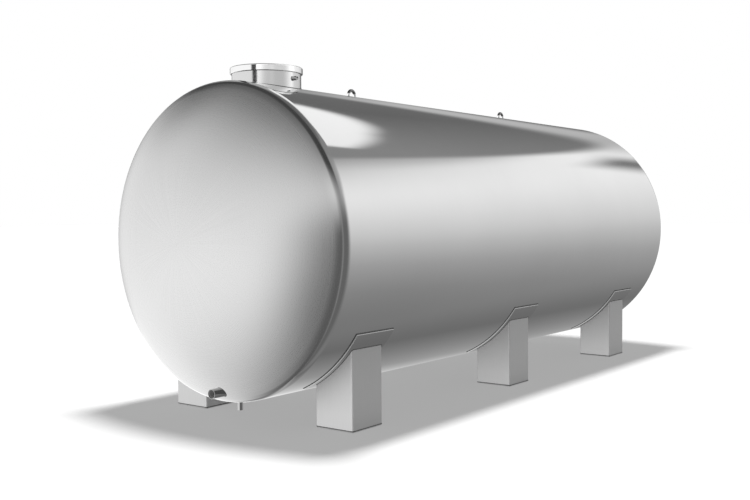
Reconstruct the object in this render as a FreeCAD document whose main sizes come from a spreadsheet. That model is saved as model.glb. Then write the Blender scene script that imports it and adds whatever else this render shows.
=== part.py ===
import FreeCAD
import Part
import Sketcher
import math
import os

# Horizontal bulk milk tank: an insulated, double-walled stainless vessel on three saddles.
#
# The part stands on the floor with +Z up. Its origin is on the floor under the middle of the
# tank, and the tank's axis runs along Y with the outlet end, called the front, at -Y. Left and
# right are as seen by someone facing the outlet end, so right is +X. Sizes are in millimetres
# and angles in degrees.

Vector = FreeCAD.Vector
Rotation = FreeCAD.Rotation

DRIVING_SIZES = [
    ("jacket_radius", 1000, "outside radius of the tank"),
    ("barrel_length", 4690, "straight barrel between the two heads"),
    ("axis_height", 1150, "tank axis above the floor"),
    ("crown_radius", 1550, "dished crown of a head, outside"),
    ("knuckle_radius", 80, "rounded rim of a head, outside"),
    ("jacket_wall", 2, "outer skin"),
    ("foam_thickness", 40, "insulation between the skins"),
    ("vessel_wall", 3, "inner milk vessel"),
    ("front_saddle_place", -1920, "front saddle along the tank"),
    ("middle_saddle_place", 0, "middle saddle along the tank"),
    ("rear_saddle_place", 1840, "rear saddle along the tank"),
    ("pad_thickness", 12, "plate wrapped under the jacket"),
    ("pad_half_angle", 57, "wrap of the plate each side of the bottom"),
    ("pad_width", 370, "plate along the tank"),
    ("bearer_half_angle", 45, "load bearer in the foam, each side of the bottom"),
    ("bearer_width", 240, "load bearer along the tank"),
    ("leg_offset", 635, "leg centre from the tank's middle plane"),
    ("leg_width", 290, "leg across the tank"),
    ("leg_depth", 300, "leg along the tank"),
    ("leg_corner", 12, "outside bend of the folded leg"),
    ("leg_wall", 5, "leg plate"),
    ("leg_blank_top", 560, "top of the leg before the tank's curve is cut from it"),
    ("foot_thickness", 8, "sole plate closing the leg"),
    ("manway_place", -1963, "manway centre along the tank"),
    ("neck_radius", 225, "manway neck, outside"),
    ("neck_wall", 3, "manway neck"),
    ("neck_rise", 107.5, "neck's top edge above the jacket's crown"),
    ("doubler_radius", 290, "reinforcing ring round the neck"),
    ("doubler_thickness", 4, "reinforcing ring round the neck"),
    ("lid_radius", 235.75, "lid rim, outside"),
    ("lid_wall", 2.5, "lid sheet"),
    ("lid_height", 42, "lid rim from its lower edge to its flat top"),
    ("lid_corner", 8, "rounded top edge of the rim"),
    ("lid_bead", 3.5, "radius of the rolled lower edge"),
    ("lid_panel_radius", 185, "raised middle panel of the lid"),
    ("lid_panel_rise", 3, "height of the raised panel"),
    ("lid_panel_slope", 8, "width of the slope round the raised panel"),
    ("gasket_outer", 227.5, "lid gasket, outside radius"),
    ("gasket_inner", 216, "lid gasket, inside radius"),
    ("gasket_thickness", 8, "lid gasket between neck and lid"),
    ("handle_rod", 4, "radius of the lid handle's rod"),
    ("handle_half_span", 50, "handle leg from the lid's centre"),
    ("handle_rise", 23, "handle's centre line above the panel"),
    ("handle_bend", 14, "bend of the handle's centre line"),
    ("hinge_reach", 252, "hinge pin from the manway's centre"),
    ("hinge_drop", 4, "hinge pin below the lid's lower edge"),
    ("pin_radius", 5, "hinge pin"),
    ("pin_clearance", 0.05, "running clearance round the hinge pin"),
    ("pin_half_length", 31, "hinge pin each side of the middle"),
    ("pin_head_radius", 8, "head of the hinge pin"),
    ("pin_head_thickness", 4, "head of the hinge pin"),
    ("washer_thickness", 1.5, "washer under the split pin"),
    ("washer_radius", 9, "washer under the split pin"),
    ("split_pin_radius", 1, "split pin's wire"),
    ("split_pin_place", 29, "split pin along the hinge pin"),
    ("knuckle_outer", 9, "hinge knuckle on the lid, outside"),
    ("knuckle_half_length", 20, "hinge knuckle each side of the middle"),
    ("strap_thickness", 4, "hinge strap"),
    ("strap_bend", 3, "inside bend of the hinge strap"),
    ("strap_length", 56, "hinge strap over the lid, from the pin"),
    ("lug_radius", 11, "rounded end of a hinge lug"),
    ("lug_thickness", 5, "hinge lug plate"),
    ("lug_gap", 0.5, "gap between knuckle and lug"),
    ("lug_depth", 32, "foot of a lug below the pin"),
    ("vent_rise", 34, "vent pipe's centre above the jacket's crown"),
    ("vent_radius", 13.45, "vent pipe, outside"),
    ("vent_wall", 2.65, "vent pipe"),
    ("vent_reach", 267, "vent pipe's tip from the manway's centre"),
    ("eye_place", 1075, "lifting eye from the tank's middle, each way"),
    ("eye_rod", 11, "radius of the lifting eye's rod"),
    ("eye_half_span", 36, "leg of the eye from its middle"),
    ("eye_rise", 59, "eye's centre line above the jacket's crown"),
    ("collar_radius", 14.5, "welded collar round an eye's leg"),
    ("collar_rise", 15, "collar above the jacket's crown"),
    ("anchor_thickness", 6, "anchor plate under an eye, on the vessel"),
    ("anchor_width", 60, "anchor plate across the tank"),
    ("anchor_length", 160, "anchor plate along the tank"),
    ("outlet_offset", 50, "outlet pipe to the right of the middle plane"),
    ("outlet_drop", 921, "outlet pipe below the tank's axis"),
    ("outlet_radius", 30.15, "outlet pipe, outside"),
    ("outlet_wall", 2.9, "outlet pipe"),
    ("outlet_tip", -2532, "outlet pipe's free end along the tank"),
    ("drain_place", -2236, "drain along the tank"),
    ("drain_radius", 16.85, "drain nipple, outside"),
    ("drain_wall", 3.2, "drain nipple"),
    ("drain_tip", 78, "drain nipple's lower end above the floor"),
    ("plug_clearance", 0.05, "running clearance round the drain plug"),
    ("plug_length", 22, "drain plug"),
    ("plug_socket_radius", 7, "hexagon socket, to its corners"),
    ("plug_socket_depth", 10, "hexagon socket"),
    ("seal_thickness", 2, "seal ring on the drain plug"),
    ("seal_inner", 8, "seal ring's hole"),
]


class Dimension:
    """A size in two forms: its number, and the sheet expression that drives it."""

    def __init__(self, number, text):
        self.number = number
        self.text = text

    def __add__(self, other):
        other = as_dimension(other)
        return Dimension(self.number + other.number, f"({self.text} + {other.text})")

    def __sub__(self, other):
        other = as_dimension(other)
        return Dimension(self.number - other.number, f"({self.text} - {other.text})")

    def __mul__(self, factor):
        factor = as_dimension(factor)
        return Dimension(self.number * factor.number, f"({self.text} * {factor.text})")

    def __neg__(self):
        return Dimension(-self.number, f"(0 - {self.text})")

    def sine(self):
        return Dimension(math.sin(math.radians(self.number)), f"sin({self.text})")


def as_dimension(value):
    if isinstance(value, Dimension):
        return value
    return Dimension(float(value), f"({float(value)})")


class SizeBook:
    """The driving sizes by name, each one a Dimension bound to its cell of the sheet."""

    def __init__(self, sheet, rows):
        for row, (name, number, meaning) in enumerate(rows, start=1):
            sheet.set(f"A{row}", meaning)
            sheet.set(f"B{row}", str(number))
            sheet.setAlias(f"B{row}", name)
            setattr(self, name, Dimension(float(number), f"{sheet.Name}.{name}"))


document = FreeCAD.newDocument("BulkMilkTank")
size = SizeBook(document.addObject("Spreadsheet::Sheet", "Sizes"), DRIVING_SIZES)
document.recompute()

ZERO = as_dimension(0)
CROWN = size.axis_height + size.jacket_radius
FOAM_INSET = size.jacket_wall
VESSEL_INSET = size.jacket_wall + size.foam_thickness
MILK_INSET = VESSEL_INSET + size.vessel_wall
FOAM_RADIUS = size.jacket_radius - FOAM_INSET
VESSEL_RADIUS = size.jacket_radius - VESSEL_INSET
MILK_RADIUS = size.jacket_radius - MILK_INSET

# A local +Z that is turned to point along one of the part's own axes.
TURNS = {
    "+X": Rotation(Vector(0, 1, 0), 90),
    "+Y": Rotation(Vector(1, 0, 0), -90),
    "-Y": Rotation(Vector(1, 0, 0), 90),
    "+Z": Rotation(),
}

subparts = []


def keep(name, feature):
    """Name a finished sub-part and put it on the list that is written out."""
    feature.Label = name
    subparts.append(feature)
    return feature


# --- small helpers for features ------------------------------------------------------------


def set_sizes(feature, **sizes):
    for name, value in sizes.items():
        value = as_dimension(value)
        setattr(feature, name, value.number)
        feature.setExpression(name, value.text)


def place(feature, where, along="+Z"):
    """Stand a feature at a place, its local +Z pointing along one of the part's axes."""
    where = [as_dimension(value) for value in where]
    feature.Placement = FreeCAD.Placement(Vector(*[value.number for value in where]), TURNS[along])
    for axis, value in zip("xyz", where):
        feature.setExpression(f"Placement.Base.{axis}", value.text)
    return feature


def cylinder(name, radius, length, where, along="+Z"):
    feature = document.addObject("Part::Cylinder", name)
    set_sizes(feature, Radius=radius, Height=length)
    return place(feature, where, along)


def box(name, extents, corner):
    feature = document.addObject("Part::Box", name)
    set_sizes(feature, Length=extents[0], Width=extents[1], Height=extents[2])
    return place(feature, corner)


def cut(name, base, *tools):
    """The base less each tool in turn."""
    for number, tool in enumerate(tools, start=1):
        feature = document.addObject("Part::Cut", f"{name}_less_{number}")
        feature.Base = base
        feature.Tool = tool
        base = feature
    return base


def fuse(name, *pieces):
    feature = document.addObject("Part::MultiFuse", name)
    feature.Shapes = list(pieces)
    return feature


def common(name, first, second):
    feature = document.addObject("Part::Common", name)
    feature.Base = first
    feature.Tool = second
    return feature


def tube(name, outer, inner, length, where, along="+Z"):
    outside = cylinder(f"{name}_outside", outer, length, where, along)
    inside = cylinder(f"{name}_inside", inner, length, where, along)
    return cut(name, outside, inside)


def barrel_cylinder(name, radius):
    """A cylinder on the tank's axis, as long as the straight barrel."""
    start = (0, size.barrel_length * -0.5, size.axis_height)
    return cylinder(name, radius, size.barrel_length, start, "+Y")


# --- small helpers for sketches ------------------------------------------------------------

ORIGIN = (-1, 1)
ACROSS_AXIS = -1
UP_AXIS = -2
START = 1
END = 2
CENTRE = 3


def new_body(name):
    return document.addObject("PartDesign::Body", name)


def new_sketch(body, plane, name):
    sketch = body.newObject("Sketcher::SketchObject", name)
    support = [item for item in body.Origin.OriginFeatures if item.Role == plane][0]
    sketch.AttachmentSupport = (support, [""])
    sketch.MapMode = "FlatFace"
    return sketch


def constrain(sketch, kind, *references, value=None):
    """Add one constraint, bound to the sheet when it has a value."""
    if value is None:
        sketch.addConstraint(Sketcher.Constraint(kind, *references))
        return
    index = sketch.addConstraint(Sketcher.Constraint(kind, *references, value.number))
    sketch.renameConstraint(index, f"size{index}")
    sketch.setExpression(f"Constraints.size{index}", value.text)


def pin_point(sketch, geometry, point, across, up):
    """Hold a point at its distances from the sketch's two axes."""
    for kind, value, axis in (("DistanceX", across, UP_AXIS), ("DistanceY", up, ACROSS_AXIS)):
        if value.number == 0:
            constrain(sketch, "PointOnObject", geometry, point, axis)
        else:
            constrain(sketch, kind, *ORIGIN, geometry, point, value=value)


def arc(centre, radius, start_angle, end_angle):
    circle = Part.Circle(Vector(centre[0], centre[1], 0), Vector(0, 0, 1), radius)
    return Part.ArcOfCircle(circle, start_angle, end_angle)


def bent_side(first, last, radius):
    """A short arc from first to last: anticlockwise for a positive radius, else clockwise."""
    chord = last - first
    rise = math.sqrt(max(radius * radius - chord.Length ** 2 / 4, 0))
    left = Vector(-chord.y, chord.x, 0).normalize()
    centre = (first + last) * 0.5 + left * math.copysign(rise, radius)
    ends = (first, last) if radius > 0 else (last, first)
    angles = [math.atan2(point.y - centre.y, point.x - centre.x) for point in ends]
    if angles[1] < angles[0]:
        angles[1] += 2 * math.pi
    return arc(centre, abs(radius), *angles)


def outline(sketch, corners, closed=True):
    """Draw sides from corner to corner; a corner's third value bends the side that leaves it."""
    corners = [(as_dimension(x), as_dimension(y), bend) for x, y, bend in corners]
    points = [Vector(x.number, y.number, 0) for x, y, bend in corners]
    sides = len(corners) if closed else len(corners) - 1
    ends = []
    for number in range(sides):
        first = points[number]
        last = points[(number + 1) % len(points)]
        bend = corners[number][2]
        if bend is None:
            geometry = sketch.addGeometry(Part.LineSegment(first, last), False)
        else:
            geometry = sketch.addGeometry(bent_side(first, last, bend.number), False)
            radius = bend if bend.number > 0 else -bend
            constrain(sketch, "Radius", geometry, value=radius)
        clockwise = bend is not None and bend.number < 0
        ends.append((geometry, END if clockwise else START, START if clockwise else END))
    for number in range(sides):
        geometry, start, end = ends[number]
        pin_point(sketch, geometry, start, corners[number][0], corners[number][1])
        if number + 1 < sides or closed:
            following, following_start, _ = ends[(number + 1) % sides]
            constrain(sketch, "Coincident", geometry, end, following, following_start)
        else:
            pin_point(sketch, geometry, end, corners[-1][0], corners[-1][1])


def revolve(body, sketch):
    feature = body.newObject("PartDesign::Revolution", f"{body.Name}_turn")
    feature.Profile = sketch
    feature.ReferenceAxis = (sketch, ["V_Axis"])
    feature.Angle = 360
    return body


def pad(body, sketch, length, side="One side"):
    feature = body.newObject("PartDesign::Pad", f"{body.Name}_pad")
    feature.Profile = sketch
    feature.SideType = side
    set_sizes(feature, Length=length)
    return body


# --- shells --------------------------------------------------------------------------------


def head(name, end, outer_inset, inner_inset):
    """One dished head between two insets from the jacket's outside.

    Crown and knuckle share their centres through all the layers, so the layers lie face to
    face. end is -1 for the front and +1 for the rear.
    """
    radius = size.jacket_radius.number
    crown = size.crown_radius.number
    knuckle = size.knuckle_radius.number
    knuckle_centre = (radius - knuckle, 0)
    crown_centre = (0, -math.sqrt((crown - knuckle) ** 2 - (radius - knuckle) ** 2))
    meeting_angle = math.acos((radius - knuckle) / (crown - knuckle))
    body = new_body(f"{name}_blank")
    sketch = new_sketch(body, "XZ_Plane", f"{name}_outline")
    arcs = []
    for inset in (outer_inset.number, inner_inset.number):
        rim_arc = arc(knuckle_centre, knuckle - inset, 0, meeting_angle)
        crown_arc = arc(crown_centre, crown - inset, meeting_angle, math.pi / 2)
        arcs.append([sketch.addGeometry(rim_arc, False), sketch.addGeometry(crown_arc, False)])
    (outer_rim, outer_crown), (inner_rim, inner_crown) = arcs
    apex = crown_centre[1] + crown
    top = Part.LineSegment(
        Vector(0, apex - outer_inset.number, 0), Vector(0, apex - inner_inset.number, 0)
    )
    foot = Part.LineSegment(
        Vector(radius - inner_inset.number, 0, 0), Vector(radius - outer_inset.number, 0, 0)
    )
    top = sketch.addGeometry(top, False)
    foot = sketch.addGeometry(foot, False)
    for rim_arc, crown_arc in arcs:
        constrain(sketch, "Tangent", rim_arc, END, crown_arc, START)
        constrain(sketch, "PointOnObject", crown_arc, END, UP_AXIS)
        constrain(sketch, "PointOnObject", rim_arc, START, ACROSS_AXIS)
    constrain(sketch, "Coincident", outer_crown, END, top, START)
    constrain(sketch, "Coincident", top, END, inner_crown, END)
    constrain(sketch, "Coincident", inner_rim, START, foot, START)
    constrain(sketch, "Coincident", foot, END, outer_rim, START)
    constrain(sketch, "Coincident", outer_rim, CENTRE, inner_rim, CENTRE)
    constrain(sketch, "Coincident", outer_crown, CENTRE, inner_crown, CENTRE)
    constrain(sketch, "PointOnObject", outer_crown, CENTRE, UP_AXIS)
    constrain(sketch, "PointOnObject", outer_rim, CENTRE, ACROSS_AXIS)
    constrain(sketch, "Radius", outer_crown, value=size.crown_radius - outer_inset)
    constrain(sketch, "Radius", outer_rim, value=size.knuckle_radius - outer_inset)
    outer_radius = size.jacket_radius - outer_inset
    inner_radius = size.jacket_radius - inner_inset
    constrain(sketch, "DistanceX", *ORIGIN, outer_rim, START, value=outer_radius)
    constrain(sketch, "DistanceX", *ORIGIN, inner_rim, START, value=inner_radius)
    revolve(body, sketch)
    place(body, (0, size.barrel_length * (0.5 * end), size.axis_height), "+Y" if end > 0 else "-Y")
    return body


def sector(name, inner, outer, half_angle, width, along_tank):
    """A band round the bottom of the tank, with radial ends."""
    body = new_body(name)
    sketch = new_sketch(body, "XZ_Plane", f"{name}_outline")
    half = math.radians(half_angle.number)
    bottom = 1.5 * math.pi
    rings = []
    for radius in (outer, inner):
        ring = arc((0, 0), radius.number, bottom - half, bottom + half)
        rings.append(sketch.addGeometry(ring, False))
        constrain(sketch, "Coincident", rings[-1], CENTRE, *ORIGIN)
        constrain(sketch, "Radius", rings[-1], value=radius)
    for side, ring_end in ((1, END), (-1, START)):
        direction = Vector(side * math.sin(half), -math.cos(half), 0)
        edge = Part.LineSegment(direction * outer.number, direction * inner.number)
        edge = sketch.addGeometry(edge, False)
        constrain(sketch, "Coincident", rings[0], ring_end, edge, START)
        constrain(sketch, "Coincident", rings[1], ring_end, edge, END)
        constrain(sketch, "PointOnObject", *ORIGIN, edge)
        reach = outer * half_angle.sine() * side
        constrain(sketch, "DistanceX", *ORIGIN, edge, START, value=reach)
    pad(body, sketch, width, "Symmetric")
    return place(body, (0, along_tank, size.axis_height))


def upper_shell_patch(name, thickness, footprint):
    """The part of a layer on the vessel's outside that lies within an upright footprint."""
    outside = barrel_cylinder(f"{name}_outside", VESSEL_RADIUS + thickness)
    inside = barrel_cylinder(f"{name}_inside", VESSEL_RADIUS)
    return common(f"{name}_patch", cut(name, outside, inside), footprint)


# --- shared cutters ------------------------------------------------------------------------

milk_space = barrel_cylinder("milk_space", MILK_RADIUS)
jacket_space = barrel_cylinder("jacket_space", size.jacket_radius)
pad_space = barrel_cylinder("pad_space", size.jacket_radius + size.pad_thickness)

neck_top = CROWN + size.neck_rise
neck_start = (0, size.manway_place, size.axis_height)
neck_space = cylinder("neck_space", size.neck_radius, neck_top - size.axis_height, neck_start)
outlet_start = (size.outlet_offset, size.outlet_tip, size.axis_height - size.outlet_drop)
outlet_length = size.barrel_length * -0.5 - size.outlet_tip
outlet_space = cylinder("outlet_space", size.outlet_radius, outlet_length, outlet_start, "+Y")
drain_start = (0, size.drain_place, size.drain_tip)
drain_length = size.axis_height - MILK_RADIUS * 0.9 - size.drain_tip
drain_space = cylinder("drain_space", size.drain_radius, drain_length, drain_start)

ENDS = (("front", -1), ("rear", 1))
SADDLES = (
    ("front", size.front_saddle_place),
    ("middle", size.middle_saddle_place),
    ("rear", size.rear_saddle_place),
)
SIDES = (("left", -1), ("right", 1))


def eye_leg_spaces(name, end):
    """The two upright holes that one lifting eye's legs fill, from the anchor plate upwards."""
    start = size.axis_height + VESSEL_RADIUS
    spaces = []
    for leg, side in (("a", -1), ("b", 1)):
        where = (0, size.eye_place * end + size.eye_half_span * side, start)
        length = CROWN + size.eye_rise - start
        spaces.append(cylinder(f"{name}_{leg}", size.eye_rod, length, where))
    return spaces


eye_holes = {end: eye_leg_spaces(f"eye_hole_{name}", end) for name, end in ENDS}
all_eye_holes = [hole for holes in eye_holes.values() for hole in holes]


# --- saddles: pads, legs, feet and the bearers in the foam ---------------------------------


def rounded_rectangle(sketch, inset):
    """The leg's plan, set in by inset all round, centred on the sketch's origin."""
    half_width = size.leg_width * 0.5 - inset
    half_depth = size.leg_depth * 0.5 - inset
    corner = size.leg_corner - inset
    reach_x = half_width.number - corner.number
    reach_y = half_depth.number - corner.number
    quarter = math.pi / 2
    sides = []
    bends = []
    # Four sides and bends, anticlockwise from the +X side, each a quarter turn from the last.
    for number, (sign_x, sign_y) in enumerate(((1, 1), (-1, 1), (-1, -1), (1, -1))):
        centre = (sign_x * reach_x, sign_y * reach_y)
        bend = arc(centre, corner.number, number * quarter, (number + 1) * quarter)
        if number % 2 == 0:
            level = sign_x * half_width.number
            first = Vector(level, -sign_y * reach_y, 0)
            last = Vector(level, sign_y * reach_y, 0)
        else:
            level = sign_y * half_depth.number
            first = Vector(-sign_x * reach_x, level, 0)
            last = Vector(sign_x * reach_x, level, 0)
        sides.append(sketch.addGeometry(Part.LineSegment(first, last), False))
        bends.append(sketch.addGeometry(bend, False))
    for number in range(4):
        constrain(sketch, "Tangent", sides[number], END, bends[number], START)
        constrain(sketch, "Tangent", bends[number], END, sides[(number + 1) % 4], START)
        constrain(sketch, "Horizontal" if number % 2 else "Vertical", sides[number])
        if number:
            constrain(sketch, "Equal", bends[0], bends[number])
    constrain(sketch, "Radius", bends[0], value=corner)
    constrain(sketch, "DistanceX", *ORIGIN, sides[0], START, value=half_width)
    constrain(sketch, "DistanceY", *ORIGIN, sides[1], START, value=half_depth)
    constrain(sketch, "DistanceX", *ORIGIN, sides[2], START, value=-half_width)
    constrain(sketch, "DistanceY", *ORIGIN, sides[3], START, value=-half_depth)


def leg(name, across, along_tank):
    """A folded box column whose top follows the pad's underside."""
    body = new_body(f"{name}_blank")
    sketch = new_sketch(body, "XY_Plane", f"{name}_plan")
    rounded_rectangle(sketch, ZERO)
    rounded_rectangle(sketch, size.leg_wall)
    pad(body, sketch, size.leg_blank_top - size.foot_thickness)
    place(body, (across, along_tank, size.foot_thickness))
    return keep(name, cut(name, body, pad_space))


def foot_plate(name, across, along_tank):
    body = new_body(name)
    sketch = new_sketch(body, "XY_Plane", f"{name}_plan")
    rounded_rectangle(sketch, ZERO)
    pad(body, sketch, size.foot_thickness)
    return keep(name, place(body, (across, along_tank, 0)))


bearers = []
for saddle_name, saddle_place in SADDLES:
    pad_outer = size.jacket_radius + size.pad_thickness
    keep(
        f"saddle_pad_{saddle_name}",
        sector(
            f"saddle_pad_{saddle_name}",
            size.jacket_radius,
            pad_outer,
            size.pad_half_angle,
            size.pad_width,
            saddle_place,
        ),
    )
    bearer = sector(
        f"foam_bearer_{saddle_name}",
        VESSEL_RADIUS,
        FOAM_RADIUS,
        size.bearer_half_angle,
        size.bearer_width,
        saddle_place,
    )
    bearers.append(keep(f"foam_bearer_{saddle_name}", bearer))
    for side_name, side_sign in SIDES:
        leg_across = size.leg_offset * side_sign
        leg(f"leg_{saddle_name}_{side_name}", leg_across, saddle_place)
        foot_plate(f"foot_plate_{saddle_name}_{side_name}", leg_across, saddle_place)


# --- reinforcements on the vessel, inside the foam -----------------------------------------

doubler_footprint = cylinder(
    "doubler_footprint", size.doubler_radius, size.jacket_radius, neck_start
)
doubler_patch = upper_shell_patch("manway_doubler", size.doubler_thickness, doubler_footprint)
manway_doubler = keep("manway_doubler", cut("manway_doubler_ring", doubler_patch, neck_space))

anchors = []
for eye_name, end in ENDS:
    anchor_corner = (
        size.anchor_width * -0.5,
        size.eye_place * end - size.anchor_length * 0.5,
        size.axis_height,
    )
    anchor_extents = (size.anchor_width, size.anchor_length, size.jacket_radius)
    anchor_footprint = box(f"anchor_footprint_{eye_name}", anchor_extents, anchor_corner)
    anchor = upper_shell_patch(f"lifting_anchor_{eye_name}", size.anchor_thickness, anchor_footprint)
    anchors.append(keep(f"lifting_anchor_{eye_name}", anchor))


# --- the three layers: jacket, foam and vessel ---------------------------------------------


def layer_barrel(name, outer, inner, *holes):
    outside = barrel_cylinder(f"{name}_outside", outer)
    inside = barrel_cylinder(f"{name}_inside", inner)
    return keep(name, cut(name, outside, inside, *holes))


layer_barrel(
    "jacket_barrel", size.jacket_radius, FOAM_RADIUS, neck_space, drain_space, *all_eye_holes
)
layer_barrel(
    "foam_barrel",
    FOAM_RADIUS,
    VESSEL_RADIUS,
    neck_space,
    drain_space,
    manway_doubler,
    *all_eye_holes,
    *anchors,
    *bearers,
)
layer_barrel("vessel_barrel", VESSEL_RADIUS, MILK_RADIUS, neck_space, drain_space)

LAYERS = (
    ("jacket", ZERO, FOAM_INSET),
    ("foam", FOAM_INSET, VESSEL_INSET),
    ("vessel", VESSEL_INSET, MILK_INSET),
)
for layer_name, outer_inset, inner_inset in LAYERS:
    front_name = f"{layer_name}_front_head"
    front = head(front_name, -1, outer_inset, inner_inset)
    keep(front_name, cut(front_name, front, outlet_space))
    keep(f"{layer_name}_rear_head", head(f"{layer_name}_rear_head", 1, outer_inset, inner_inset))


# --- manway neck and vent ------------------------------------------------------------------

vent_height = CROWN + size.vent_rise
vent_start = (0, size.manway_place, vent_height)
vent_space = cylinder("vent_space", size.vent_radius, size.vent_reach, vent_start, "+X")
vent_hole = cylinder(
    "vent_hole", size.vent_radius - size.vent_wall, size.vent_reach, vent_start, "+X"
)
neck_bore_radius = size.neck_radius - size.neck_wall
neck_bore = cylinder("neck_bore", neck_bore_radius, neck_top - size.axis_height, neck_start)
keep("manway_neck", cut("manway_neck", neck_space, neck_bore, milk_space, vent_space))
keep("vent_pipe", cut("vent_pipe", vent_space, vent_hole, neck_bore))


# --- lid, gasket and handle ----------------------------------------------------------------

lid_top = neck_top + size.gasket_thickness + size.lid_wall
lid_bottom = lid_top - size.lid_height
lid_centre = (0, size.manway_place, lid_bottom)


def lid_cover():
    """A pressed lid: raised panel, rounded rim and a rolled lower edge, turned round Z."""
    body = new_body("lid_cover")
    sketch = new_sketch(body, "XZ_Plane", "lid_outline")
    rim = size.lid_radius
    wall = size.lid_wall
    top = size.lid_height
    corner = size.lid_corner
    bead = size.lid_bead
    panel = size.lid_panel_radius
    slope_foot = panel + size.lid_panel_slope
    panel_top = top + size.lid_panel_rise
    inner_corner = corner - wall
    # The rolled edge closes on the skirt's inner face this far above the bead's centre.
    bead_overlap = bead.number - wall.number
    closing = math.sqrt(bead.number ** 2 - bead_overlap ** 2) / bead.number
    outline(
        sketch,
        [
            (ZERO, panel_top - wall, None),
            (panel, panel_top - wall, None),
            (slope_foot, top - wall, None),
            (rim - corner, top - wall, -inner_corner),
            (rim - wall, top - corner, None),
            (rim - wall, bead + bead * closing, bead),
            (rim - bead * 2, bead, bead),
            (rim - bead, ZERO, bead),
            (rim, bead, None),
            (rim, top - corner, corner),
            (rim - corner, top, None),
            (slope_foot, top, None),
            (panel, panel_top, None),
            (ZERO, panel_top, None),
        ],
    )
    revolve(body, sketch)
    return keep("lid_cover", place(body, lid_centre))


def rod_bow(name, half_span, height, bend, rod):
    """A round rod bent into a bow along Y, its two feet on its own local floor."""
    body = new_body(name)
    path = new_sketch(body, "YZ_Plane", f"{name}_path")
    straight_top = half_span - bend
    corners = [(-half_span, ZERO, None), (-half_span, height - bend, -bend)]
    if straight_top.number > 0:
        corners.append((-straight_top, height, None))
        corners.append((straight_top, height, -bend))
    else:
        corners.append((ZERO, height, -bend))
    corners.append((half_span, height - bend, None))
    corners.append((half_span, ZERO, None))
    outline(path, corners, closed=False)
    section = new_sketch(body, "XY_Plane", f"{name}_section")
    circle = Part.Circle(Vector(0, -half_span.number, 0), Vector(0, 0, 1), rod.number)
    circle = section.addGeometry(circle, False)
    constrain(section, "Radius", circle, value=rod)
    pin_point(section, circle, CENTRE, ZERO, -half_span)
    document.recompute()
    pipe = body.newObject("PartDesign::AdditivePipe", f"{name}_pipe")
    pipe.Profile = section
    pipe.Spine = (path, [f"Edge{number + 1}" for number in range(len(path.Shape.Edges))])
    return body


lid_cover()
keep(
    "lid_gasket",
    tube(
        "lid_gasket",
        size.gasket_outer,
        size.gasket_inner,
        size.gasket_thickness,
        (0, size.manway_place, neck_top),
    ),
)
handle = rod_bow(
    "lid_handle", size.handle_half_span, size.handle_rise, size.handle_bend, size.handle_rod
)
keep("lid_handle", place(handle, (0, size.manway_place, lid_top + size.lid_panel_rise)))


# --- lid hinge, on the neck's left side ----------------------------------------------------

hinge_height = lid_bottom - size.hinge_drop
hinge_across = -size.hinge_reach
lug_place = size.knuckle_half_length + size.lug_gap + size.lug_thickness * 0.5
pin_hole_radius = size.pin_radius + size.pin_clearance


def along_hinge(name, radius, offset, length):
    """A cylinder on the hinge's axis, from offset along the tank from the manway's centre."""
    where = (hinge_across, size.manway_place + offset, hinge_height)
    return cylinder(name, radius, length, where, "+Y")


def hinge_lug(name, side):
    """A plate with a rounded end for the pin, its other edge welded to the neck."""
    body = new_body(f"{name}_blank")
    sketch = new_sketch(body, "XZ_Plane", f"{name}_outline")
    round_end = size.lug_radius
    diagonal = round_end * math.sqrt(0.5)
    shoulder = size.pin_radius * -0.6
    weld = size.hinge_reach - size.neck_radius + size.lug_thickness
    outline(
        sketch,
        [
            (round_end, ZERO, round_end),
            (ZERO, round_end, round_end),
            (-diagonal, -diagonal, None),
            (size.lug_depth - diagonal * 2, -size.lug_depth, None),
            (weld, -size.lug_depth, None),
            (weld, shoulder, None),
            (round_end, shoulder, None),
        ],
    )
    pad(body, sketch, size.lug_thickness, "Symmetric")
    place(body, (hinge_across, size.manway_place + lug_place * side, hinge_height))
    return keep(name, cut(name, body, pin_hole, neck_space))


pin_hole = along_hinge(
    "pin_hole", pin_hole_radius, -size.pin_half_length, size.pin_half_length * 2
)
for lug_name, lug_side in ENDS:
    hinge_lug(f"hinge_lug_{lug_name}", lug_side)


def hinge_strap():
    """The lid's half of the hinge: a bent strap over the lid's rim, with a round knuckle."""
    body = new_body("hinge_strap_blank")
    sketch = new_sketch(body, "XZ_Plane", "hinge_strap_outline")
    half = size.strap_thickness * 0.5
    seat = size.lid_height + size.hinge_drop
    inner = size.strap_bend
    outer = size.strap_bend + size.strap_thickness
    outline(
        sketch,
        [
            (-half, ZERO, None),
            (half, ZERO, None),
            (half, seat - inner, -inner),
            (half + inner, seat, None),
            (size.strap_length, seat, None),
            (size.strap_length, seat + size.strap_thickness, None),
            (half + inner, seat + size.strap_thickness, outer),
            (-half, seat - inner, None),
        ],
    )
    width = size.knuckle_half_length * 2
    pad(body, sketch, width, "Symmetric")
    place(body, (hinge_across, size.manway_place, hinge_height))
    knuckle = along_hinge("knuckle", size.knuckle_outer, -size.knuckle_half_length, width)
    whole = fuse("hinge_strap_whole", body, knuckle)
    return keep("hinge_strap", cut("hinge_strap", whole, pin_hole))


hinge_strap()

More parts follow.
